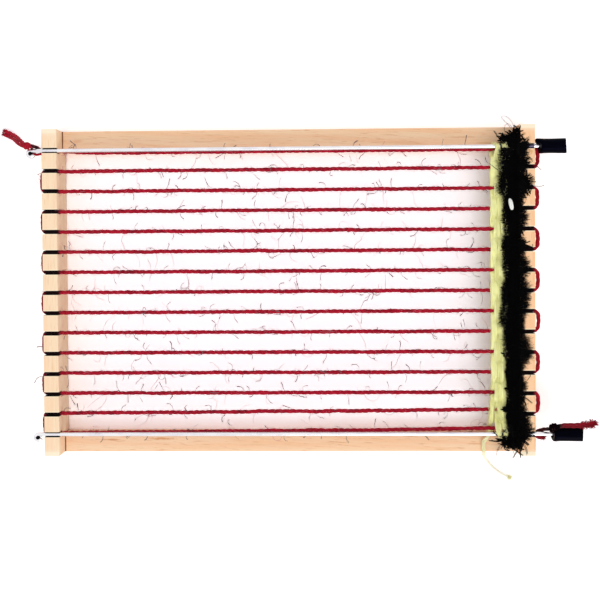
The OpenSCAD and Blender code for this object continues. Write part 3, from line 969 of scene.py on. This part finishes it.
from_start = np.arange(len(warp_core))
leads = np.minimum(from_start, from_start[::-1]) < LEAD_STEPS
# Painted shade: the yarn is darkened in the slots, in its turns beyond the bars and along its
# leads.
hidden = np.convolve(in_slot.astype(float), np.ones(3) / 3, "same")
hidden = np.maximum(hidden * 0.98, beyond_left * 0.45 + beyond_right * 0.12)
hidden = np.maximum(hidden, leads * 0.9)
warp_radius = uneven(warp_core, WARP_R * 1.17, chance, 0.06)
warp_radius = warp_radius * np.where(beyond_left, 0.8, 1)
lines, radii = plies(warp_core, warp_radius)
for ply, letter in enumerate("abc"):
    piece = make_strands(
        "warp_yarn_ply_" + letter, lines[ply:ply + 1], radii[ply:ply + 1], 8, crimson_wool,
        hidden=hidden[None])
    place(piece, "frame", "crimson_yarn", "warp_yarn")


def fluff(core, tall, wide, stand, count, longest, thick, chance, keep=None):
    """Short fibres all over a yarn. The less they stand, the more they lie along it."""
    spots = chance.integers(1, len(core) - 1, count)
    if keep is not None:
        spots = spots[keep[spots]]
    heading, across, up = strand_frames(core[None])
    angle = chance.uniform(0, 2 * math.pi, len(spots))[:, None]
    outward = np.cos(angle) * across[0, spots] + np.sin(angle) * up[0, spots]
    sideways = np.cross(heading[0, spots], outward)
    roots = core[spots] + tall * np.cos(angle) * across[0, spots] + (
        wide * np.sin(angle) * up[0, spots])
    aims = stand * outward + heading[0, spots] * chance.normal(0, 0.9, (len(spots), 1)) + (
        1 - stand) * sideways * chance.normal(0, 1, (len(spots), 1))
    lengths = longest * chance.uniform(0.25, 1, len(spots)) ** 1.5
    centres = loose_fibres(roots, aims, lengths, 4, 0.22, chance)
    return centres, np.full((len(spots), 4), thick) * np.linspace(1, 0.5, 4)


def fibre_piece(name, lines, radii, finish, slot, chance):
    """A piece of loose fibres, each of its own shade."""
    tint = chance.uniform(0, 1, (len(lines), 1))
    return place(make_strands(name, lines, radii, 3, finish, tint=tint), "frame", slot)


WARP_FLUFF = 11500
open_warp = ~in_slot & (warp_core[:, 0] < pick_x(STRAY_PICK))
for coat, longest, thick in (("short", 1.5, 0.08), ("long", 3.4, 0.06)):
    fluff_lines, fluff_radii = fluff(
        warp_core, 0.8, 0.8, 1, WARP_FLUFF, longest, thick, chance, open_warp)
    fibre_piece(
        "warp_" + coat + "_fluff", fluff_lines, fluff_radii, pink_fibre, "crimson_yarn", chance)

# Longer wisps have worked loose from the warp yarn and hang between its threads, each a
# few curled fibres that part at the tip. Most are grey, the rest pink.
WISPS = 810
GREY_WISPS = 600
WISP_RINGS = 14
WISP_FIBRES = 3
wisp_fibre = plain_fibre_finish("wisp_fibre", shown(104, 98, 102), shown(222, 140, 152))
chance = np.random.default_rng(14)
grey = np.arange(WISPS) < GREY_WISPS
spots = chance.choice(np.flatnonzero(open_warp), WISPS)
reach = np.where(grey, chance.uniform(3.5, 9, WISPS), chance.uniform(4, 14, WISPS))
curl = chance.normal(0, 0.14, (WISPS, 1)) + chance.normal(0, 0.2, (WISPS, WISP_RINGS))
turned = chance.uniform(0, 2 * math.pi, (WISPS, 1)) + np.cumsum(curl, axis=1)
drift = chance.normal(0, 0.25, (WISPS, 1)) + chance.normal(0, 0.2, (WISPS, WISP_RINGS))
steps = np.stack([np.cos(turned), np.sin(turned), drift], axis=2)
steps = steps * reach[:, None, None] / WISP_RINGS
middle = warp_core[spots][:, None] + np.cumsum(steps, axis=1)
parting = np.linspace(0.4, 1.6, WISP_RINGS)[:, None]
wisp_lines = np.concatenate([
    middle + chance.normal(0, 0.13, (WISPS, 1, 3)) * parting for _ in range(WISP_FIBRES)])
grey_thick = chance.uniform(0.07, 0.14, WISPS)
wisp_thick = np.where(grey, grey_thick, chance.uniform(0.045, 0.07, WISPS))
wisp_tint = np.where(grey, chance.uniform(0, 0.3, WISPS), chance.uniform(0.6, 1, WISPS))
grey_swell = np.linspace(0.3, 1.1, WISP_RINGS)
wisp_swell = np.where(grey[:, None], grey_swell, np.linspace(1, 0.6, WISP_RINGS))
wisp_radii = np.tile(wisp_thick[:, None] * wisp_swell, (WISP_FIBRES, 1))
warp_wisps = make_strands(
    "warp_wisps", wisp_lines, wisp_radii, 3, wisp_fibre,
    tint=np.tile(wisp_tint, WISP_FIBRES)[:, None])
place(warp_wisps, "frame", "crimson_yarn")

# Black weft: four picks of one shaggy yarn, woven over and under the warp against the
# right bar. Each pick turns round the rods at the cloth's edges. Its long pile covers
# the picks, spills over the bar and the yellow, and bunches at both ends.
LAST_BLACK_PICK = 3
SELVEDGE_R = ROD_R + WEFT_R + 0.6
DIAGONAL = SELVEDGE_R * math.sin(math.pi / 4)
WEFT_OVER_ROD = ROD_Z + SELVEDGE_R
SELVEDGE_TURN = [
    (0.2, DIAGONAL, WEFT_LOW + SELVEDGE_R - DIAGONAL),
    (0.4, SELVEDGE_R, WEFT_LOW + SELVEDGE_R),
    (0.6, SELVEDGE_R, ROD_Z),
    (0.8, DIAGONAL, ROD_Z + DIAGONAL),
]
PACKED = 0.9
ROUND_ROD = 0.62


def weft_height(pick, station):
    """Height of a pick at a warp thread or between two: over one, under the next."""
    edge = min(station, LAST_SLOT - station)
    climb = (1 + math.cos(math.pi * min(edge, 1))) / 2
    swing = WARP_SWING * math.cos(math.pi * station)
    if pick % 2 == 0:
        if edge < 1:
            return WEFT_LOW + (WEFT_OVER_ROD - WEFT_LOW) * climb
        return WARP_Z + swing
    return WARP_Z - swing


def weft_line(first, last, loose):
    """Line of one weft yarn from its first pick to its last, turning at the rods."""
    points = []
    if loose:
        points.append((pick_x(first) - PICK_DRIFT, FRONT_Y - 1, WEFT_LOW))
    else:
        points.extend((pick_x(first), FRONT_Y - out, z) for _, out, z in SELVEDGE_TURN[1::-1])
    for pick in range(first, last - 1, -1):
        stray = loose and pick == first
        stations = np.linspace(0, LAST_SLOT, LAST_SLOT * 3 + 1)
        for station in stations[::-1] if pick % 2 else stations:
            drift = PICK_DRIFT * max(0, (station - LAST_SLOT + 2) / 2) if stray else 0
            x = pick_x(pick) - drift
            shift = np.interp(
                station, range(LAST_SLOT + 1),
                [thread_y(i, x) - slot_y(i) if 0 < i < LAST_SLOT else 0
                 for i in range(LAST_SLOT + 1)])
            points.append((x, slot_y(station) + shift, weft_height(pick, station)))
        if pick > last:
            rising = pick % 2 == 1
            y, way = (BACK_Y, 1) if rising else (FRONT_Y, -1)
            for share, out, z in SELVEDGE_TURN if rising else SELVEDGE_TURN[::-1]:
                crossed = share if rising else 1 - share
                points.append((pick_x(pick) + crossed * PICK_PITCH, y + way * out, z))
    points.extend((pick_x(last), FRONT_Y - out, z) for _, out, z in SELVEDGE_TURN[:1:-1])
    return laid(points, 0.5, 5)


def beaten_up(core, packed, turn_out):
    """Soft picks pack closer to the bar than stiff ones, and turn tight round the rods."""
    line = core.copy()
    line[:, 0] = FIRST_PICK_X + (core[:, 0] - FIRST_PICK_X) * packed
    past = np.abs(core[:, 1]) - BACK_Y
    line[:, 1] = np.sign(core[:, 1]) * (BACK_Y + np.where(past > 0, past * turn_out, past))
    tight = np.interp(past, [-7, -1], [1, ROUND_ROD])
    above = core[:, 2] - ROD_Z
    line[:, 2] = np.where(above > 0, ROD_Z + above * tight, core[:, 2])
    return line


black_wool = wool_finish(
    "black_wool", (0.0006, 0.0006, 0.0007, 1), (0.0015, 0.0015, 0.0017, 1),
    (0.003, 0.003, 0.0034, 1), (0.0005, 0.0005, 0.0005, 1), 0.0, 0.04)
black_pile = plain_fibre_finish(
    "black_pile", (0.0006, 0.0006, 0.0007, 1), (0.0034, 0.003, 0.0034, 1), 0.05)

chance = np.random.default_rng(15)
black_core = beaten_up(weft_line(LAST_BLACK_PICK, 0, False), PACKED, ROUND_ROD)
black_weft = twisted_yarns(
    "black_weft_yarn", [black_core], 1.15, 0.12, [0.0], 8, black_wool, chance, 5.5)
place(black_weft, "frame", "black_yarn", "black_weft")


def settle(lines):
    """Lays fibres on what is under them: bars, rails, rods, yellow picks and table."""
    x, y, z = lines[..., 0], lines[..., 1], lines[..., 2]
    out = np.abs(y)
    on_rail = (out > RAIL_INNER) & (out < BAR_END + 0.2)
    on_rod = np.abs(out - BACK_Y) < 2.2
    on_bar = (x > BAR_INNER) & (out < BAR_END + 0.1)
    on_yellow = (x < YELLOW_EDGE) & (out < YELLOW_HALF)
    on_yellow_turn = (x < YELLOW_EDGE + 2) & (np.abs(out - YELLOW_TURN) < 2.6)
    bed = np.where(on_rail, RAIL_TOP + 0.1, 0)
    bed = np.where(on_rod, ROD_Z + 1.4, bed)
    bed = np.where(on_bar, BAR_TOP + 0.12, bed)
    bed = np.where(on_yellow, WARP_Z + 3.7, bed)
    bed = np.where(on_yellow_turn, ROD_Z + 2.9, bed)
    lines[..., 2] = np.clip(np.maximum(z, bed), PILE_LOW, PILE_HIGH)
    return lines


def pile_edge(ys, widths, chance):
    """How far the pile spreads at each y: its broad shape, with tufts and dips in it."""
    marks = np.arange(-96, 97, 1.6)
    tufts = 1 + 0.28 * chance.normal(0, 1, len(marks))
    broad = np.interp(ys, PILE_PLACES, widths)
    return broad * np.clip(np.interp(ys, marks, tufts), 0.45, 1.7)


# Edges of what the pile lies on, and the lowest and the highest that it lies.
RAIL_INNER = 89.6
BAR_INNER = 133.4
YELLOW_EDGE = 126
YELLOW_HALF = 86
YELLOW_TURN = 85
PILE_LOW = 0.12
PILE_HIGH = 22.6

# How far the pile reaches to the left and the right of the picks, at places along them.
PILE_PLACES = [
    -95, -88, -82, -76, -66, -60, -55, -46, -40, -33, -26, -18, -8, 0, 8, 14, 22, 28, 34, 46,
    57, 62, 67, 71, 80, 90,
]
PILE_LEFT = [
    4.2, 2.0, 0.8, 0.2, 0.1, 0.1, 0.1, 0.4, 1.2, 2.8, 2.0, 4.0, 2.8, 3.6, 1.2, 2.8, 1.2, 4.2,
    0.8, 3.0, 1.6, 4.4, 4.6, 4.6, 4.8, 4.4,
]
PILE_RIGHT = [
    8.5, 8.5, 7.0, 4.8, 3.2, 4.4, 1.8, 2.4, 8.0, 6.4, 3.2, 2.6, 8.4, 5.6, 4.4, 5.4, 2.4, 4.6,
    0.9, 4.8, 1.6, 7.0, 9.5, 2.6, 7.0, 5.0,
]
HAIRS = 7600
HAIR_REACH = 12
far_pick = FIRST_PICK_X + (pick_x(LAST_BLACK_PICK) - FIRST_PICK_X) * PACKED
for side, widths in (("left", PILE_LEFT), ("right", PILE_RIGHT)):
    ys = chance.uniform(-91, 91, HAIRS)
    spread = pile_edge(ys, widths, chance)
    roots = np.stack([
        chance.uniform(far_pick - 0.4, pick_x(0) + 0.3, HAIRS), ys,
        chance.uniform(WARP_Z + 0.5, WARP_Z + 3.2, HAIRS)], axis=1)
    goal_x = far_pick - 0.9 - spread if side == "left" else pick_x(0) + 0.9 + spread
    reach_x = (goal_x - roots[:, 0]) * chance.uniform(0.5, 1.05, HAIRS)
    reach_y = chance.normal(0, 1.7, HAIRS)
    aims = np.stack([reach_x, reach_y, chance.uniform(0.2, 1.8, HAIRS)], axis=1)
    lengths = np.minimum(np.hypot(reach_x, reach_y) + 0.6, HAIR_REACH)
    pile_lines = loose_fibres(roots, aims, lengths, 5, 0.12, chance)
    pile_lines[:, :, 2] -= np.linspace(0, 1, 5) ** 2 * 0.9
    pile_lines = settle(pile_lines)
    pile_thick = chance.uniform(0.07, 0.15, (len(pile_lines), 1)) * np.linspace(1, 0.6, 5)
    fibre_piece(
        "black_weft_pile_" + side, pile_lines, pile_thick, black_pile, "black_yarn", chance)

# Each lock has its root's x and y, its lean in x and y, its hairs and its spread.
LOCKS = [
    (134, 89.2, 8.5, -0.2, 70, 0.5), (134, 88.4, 6.5, 0.2, 60, 0.5),
    (131.5, 95, 3.0, 2.5, 60, 0.8), (132, 98, 1.0, 3.0, 40, 0.7),
    (125, 94, -3.5, 1.0, 60, 0.8), (133, 78.6, 8.0, -3.0, 40, 1.0),
    (133, 75.5, 7.5, 1.5, 30, 0.9), (133, 66, 8.6, -3.5, 60, 1.3),
    (133, 70, 7.0, -5.0, 50, 1.2), (133.5, 63.2, 8.0, 1.0, 40, 0.8),
    (133, 86, 4.5, -3.0, 40, 1.0), (133, 58, 3.5, -3.5, 40, 0.9),
    (133, 39, 3.5, -4.5, 36, 0.8), (134, 29.5, 6.0, -2.6, 40, 0.8),
    (133, 12, 3.5, 1.5, 30, 0.9), (133, -8, 4.0, -1.0, 30, 0.9),
    (133, -20, 3.0, 2.5, 30, 0.9), (133.5, -57, 3.5, 3.0, 26, 0.6),
    (133.5, -67, 5.0, -3.0, 26, 0.6), (133, -80, 4.6, -1.0, 40, 0.9),
    (126, 79, -4.5, 2.5, 30, 0.6), (126, 66, -4.2, -1.0, 34, 0.8),
    (126, 58, -3.0, 0.6, 24, 0.7), (126, 27, -3.4, -1.0, 60, 1.2),
    (126, 31, -3.0, -1.6, 40, 1.0), (126, 1, -2.6, -2.0, 30, 0.8),
    (125, -40, -2.2, 2.0, 24, 0.7), (125, -73, -2.6, -1.5, 30, 0.6),
    (126, -61, -2.4, 1.0, 24, 0.6), (128, 91, -7.0, 3.6, 130, 1.6),
    (130, 92, -3.0, 5.0, 130, 1.7), (131, 93, 1.5, 7.5, 110, 1.5),
    (127, 91, -4.0, 1.5, 120, 1.3), (132, 91, 2.0, 4.0, 90, 1.4),
    (129, 92, -1.0, 8.0, 60, 1.2), (126, -91, -3.5, -7.5, 170, 1.6),
    (128, -91, -2.0, -6.0, 150, 1.6), (129, -91, 0.5, -7.5, 150, 1.6),
    (131, -91, 3.5, -6.5, 150, 1.5), (132, -90, 5.5, -5.5, 130, 1.5),
    (133, -88, 7.0, -4.0, 100, 1.4), (133, -85, 6.0, -2.5, 70, 1.2),
    (134, -83, 5.0, 1.0, 40, 1.0), (127, -88, -3.0, -4.0, 90, 1.3),
    (131, -92, 6.0, -10.5, 30, 1.0), (129, -94, 3.0, -8.0, 24, 0.8),
]
TUFT = 10
TUFT_RINGS = 7
HAIRS_EACH = 4
tuft_lines = []
for x, y, lean_x, lean_y, hairs, spread in LOCKS:
    tufts = hairs // HAIRS_EACH
    roots = np.array([x, y, WARP_Z + 3]) + chance.normal(0, 0.7, (tufts, 3)) * spread
    scatter = chance.normal(0, 1, (tufts, 3)) * (spread, spread, 0.5)
    aims = np.array([lean_x, lean_y, 1.2]) + scatter
    reach = np.linalg.norm(aims, axis=1) * chance.uniform(0.35, 1.1, tufts)
    middle = loose_fibres(roots, aims, reach, TUFT_RINGS, 0.26, chance)
    gather = np.linspace(1, 0.4, TUFT_RINGS)[:, None]
    apart = chance.normal(0, 0.34, (tufts, TUFT, 1, 3)) * gather
    lines = middle[:, None] + apart + chance.normal(0, 0.04, (tufts, TUFT, TUFT_RINGS, 3))
    tuft_lines.append(lines.reshape(-1, TUFT_RINGS, 3))
tuft_lines = np.concatenate(tuft_lines)
tuft_lines[:, :, 2] -= np.linspace(0, 1, TUFT_RINGS) ** 2 * 3
tuft_lines = settle(tuft_lines)
tuft_thick = chance.uniform(0.09, 0.18, (len(tuft_lines), 1)) * np.linspace(1, 0.6, TUFT_RINGS)
tuft_tint = chance.uniform(0, 1, (len(tuft_lines), 1))
at_back = tuft_lines[:, 0, 1] > 0
for end, there in (("back", at_back), ("front", ~at_back)):
    black_tufts = make_strands(
        "black_weft_tufts_" + end, tuft_lines[there], tuft_thick[there], 3, black_pile,
        tint=tuft_tint[there])
    place(black_tufts, "frame", "black_yarn")

# A fleck of undyed white wool is caught in the black pile near its back end. It is a
# short soft roving, slightly twisted, and only the pile round it holds it.
FLECK = (128.3, 53.1)
FLECK_LENGTH = 7
white_wool = wool_finish(
    "white_wool", shown(226, 230, 224), shown(246, 248, 244), shown(255, 255, 254),
    shown(150, 150, 146), 0.0)
chance = np.random.default_rng(18)
fleck_share = np.linspace(-0.5, 0.5, 25)
fleck_core = np.array([*FLECK, WARP_Z + 4.5]) + fleck_share[:, None] * (
    np.array([1.7, -FLECK_LENGTH, 0])) + (1 - 4 * fleck_share[:, None] ** 2) * (0, 0, 0.5)
fleck_swell = np.sqrt(1 - (2 * np.abs(fleck_share)) ** 2.4 * 0.94)
lines, radii = roving(
    fleck_core, 1.55 * fleck_swell, 0.7 * fleck_swell, 16, 0.36 * fleck_swell, 60, chance)
fleck = make_strands("white_wool_fleck", lines, radii, 6, white_wool)
place(fleck, "frame", "black_yarn")

# A few black hairs are longer than the rest. They have worked loose from the pile, and
# lie singly and in loops over the rails, the right bar and the table.
HAIR_RINGS = 29
LONG_HAIRS = [
    [(133, 92, 15), (132.6, 96, 13), (131, 101, 10.5), (127.6, 105.6, 9), (124.2, 108.4, 8.5),
     (127.4, 109.6, 8.6), (131, 106.6, 9.6), (133, 101, 11), (133.8, 95, 13)],
    [(133, 93, 15), (130, 97, 12), (127.2, 98.6, 9.5), (126.8, 103, 8.8), (129.6, 104.6, 9.5),
     (133, 99, 11)],
    [(133, 67, 17.5), (137, 65.5, 18.6), (142, 64.2, 18.6), (146, 63.6, 18.2),
     (149.5, 64.8, 17.6)],
    [(134, 79, 17.5), (138, 77.5, 18.8), (142, 79.4, 18.9), (140, 82.2, 18.9), (136, 81, 18.6)],
    [(133, 77, 17.5), (139, 75, 18.7), (144, 76.6, 18.6), (147.4, 73.6, 18)],
    [(133.5, 64, 17.5), (136, 60.5, 18.5), (140, 60, 18.5), (141, 63.4, 18.5)],
    [(134, 29.5, 18.3), (138, 26.6, 18.5), (141.6, 26.2, 18.5), (141.4, 28.6, 18.5)],
    [(134, -58, 18.3), (137.5, -55.8, 18.6), (140, -52.4, 18.6), (138.6, -50, 18.6)],
    [(133.5, -66, 18.3), (137, -66.4, 18.6), (141, -69.6, 18.6)],
    [(134, -84, 18.3), (138.6, -82, 18.8), (141.4, -83.6, 18.8), (139.5, -86.4, 18.8),
     (135, -86, 18.8)],
    [(126, -96, 9), (123.6, -99, 8.6), (122, -102.6, 7.6), (122.6, -105.6, 3.4),
     (124, -107.4, 0.8)],
    [(130, -96, 9), (131.6, -99, 8.6), (132.6, -102.8, 7.4), (133.8, -105.2, 2.6),
     (134.6, -106, 0.6)],
    [(134, -93, 18.2), (137, -97, 18.5), (138, -101, 18.4), (138.6, -103.2, 16)],
    [(121, 74, 17.2), (117, 77, 17.6), (113.6, 79.6, 17.2), (113.4, 82.6, 16.4)],
]
HAIRS_BESIDE = 2
THIN_HAIRS = 2
chance = np.random.default_rng(19)
long_middle = np.stack([
    laid(hair, along(np.array(hair))[-1] / (HAIR_RINGS - 1), 4)[:HAIR_RINGS]
    for hair in LONG_HAIRS])
long_lines = np.concatenate([
    long_middle + chance.normal(0, 0.25, (len(LONG_HAIRS), 1, 3)) * (1, 1, 0.3)
    for _ in range(HAIRS_BESIDE)])
long_thick = chance.uniform(0.11, 0.17, (len(LONG_HAIRS), 1)) * np.linspace(1, 0.7, HAIR_RINGS)
long_thick[:THIN_HAIRS] *= 0.5
long_hairs = make_strands(
    "black_weft_long_hairs", long_lines, np.tile(long_thick, (HAIRS_BESIDE, 1)), 5, black_pile,
    tint=chance.uniform(0.5, 1, (len(long_lines), 1)))
place(long_hairs, "frame", "black_yarn")

# Yellow weft: four picks of a thick soft yarn, woven next to the black and beaten up
# close, so that they spread flat and cover the warp. The first pick strays left at the
# front, where its loose end leaves it.
BAND_HALF = BACK_Y - SLOT_PITCH / 2
YELLOW_FLUFF = 9500


def packed_flat(core, half_width, half_height, across_count, thick, chance):
    """Soft strands side by side in two flat layers, four fewer in the lower one."""
    heading = unit(np.gradient(core, axis=0))
    across = unit(np.array([1.0, 0, 0]) - heading[:, :1] * heading)
    upward = np.cross(across, heading)
    upward *= np.sign(upward[:, 2:] + 1e-9)
    length = along(core)
    marks = np.arange(0, length[-1] + 8, 5)
    lines, radii = [], []
    for layer, count in ((-1, across_count - 4), (1, across_count)):
        for place_across in np.linspace(-1, 1, count):
            wander = np.interp(length, marks, chance.normal(0, 0.13, len(marks)))
            side = (place_across * 0.86 + wander) * (half_width - thick)
            rise = layer * (half_height - 0.25 * thick) * (1 - 0.35 * place_across ** 2)
            lines.append(core + side[:, None] * across + rise[:, None] * upward)
            radii.append(uneven(core, thick, chance, 0.08))
    return np.stack(lines), np.stack(radii)


yellow_wool = wool_finish(
    "yellow_wool", shown(255, 253, 168), shown(255, 255, 188), shown(255, 255, 206),
    shown(150, 130, 60), 0.0)

chance = np.random.default_rng(16)
yellow_route = weft_line(STRAY_PICK, LAST_BLACK_PICK + 1, True)
strayed = np.interp(along(yellow_route), [15, 36], [1, PACKED])
yellow_core = beaten_up(yellow_route, strayed, 0.4)
lift = (yellow_route[:, 2] - WARP_Z) / WARP_SWING
inner = np.abs(yellow_route[:, 1]) < BAND_HALF
over_thread = 0.35 + 0.5 * np.abs(lift) ** 0.7
swelled = np.where(lift > 0, over_thread, 0.35 - 1.35 * np.abs(lift) ** 6)
yellow_core[:, 2] = np.where(inner, WARP_Z + WARP_SWING * swelled, yellow_core[:, 2])
yellow_core = soften(yellow_core, 2)
by_rod = np.interp(np.abs(yellow_route[:, 1]), [BACK_Y - 4, BACK_Y], [1, ROUND_ROD])
ruffle = uneven(yellow_core, 1, chance, 0.05) * by_rod
ruffle *= np.interp(along(yellow_core), [0, 26, 42], [0.5, 0.62, 1])
lines, radii = packed_flat(
    yellow_core, 2.25 * ruffle, 0.55 * ruffle, 9, 0.6 * ruffle, chance)
yellow_weft = make_strands("yellow_weft_yarn", lines, radii, 4, yellow_wool)
place(yellow_weft, "frame", "yellow_yarn", "yellow_weft")
for coat, longest, thick in (("short", 2.2, 0.1), ("long", 3.2, 0.06)):
    fluff_lines, fluff_radii = fluff(
        yellow_core, 0.8, 1.9, 0.05, YELLOW_FLUFF, longest, thick, chance)
    fibre_piece(
        "yellow_weft_" + coat + "_fluff", fluff_lines, fluff_radii, yellow_fibre,
        "yellow_yarn", chance)
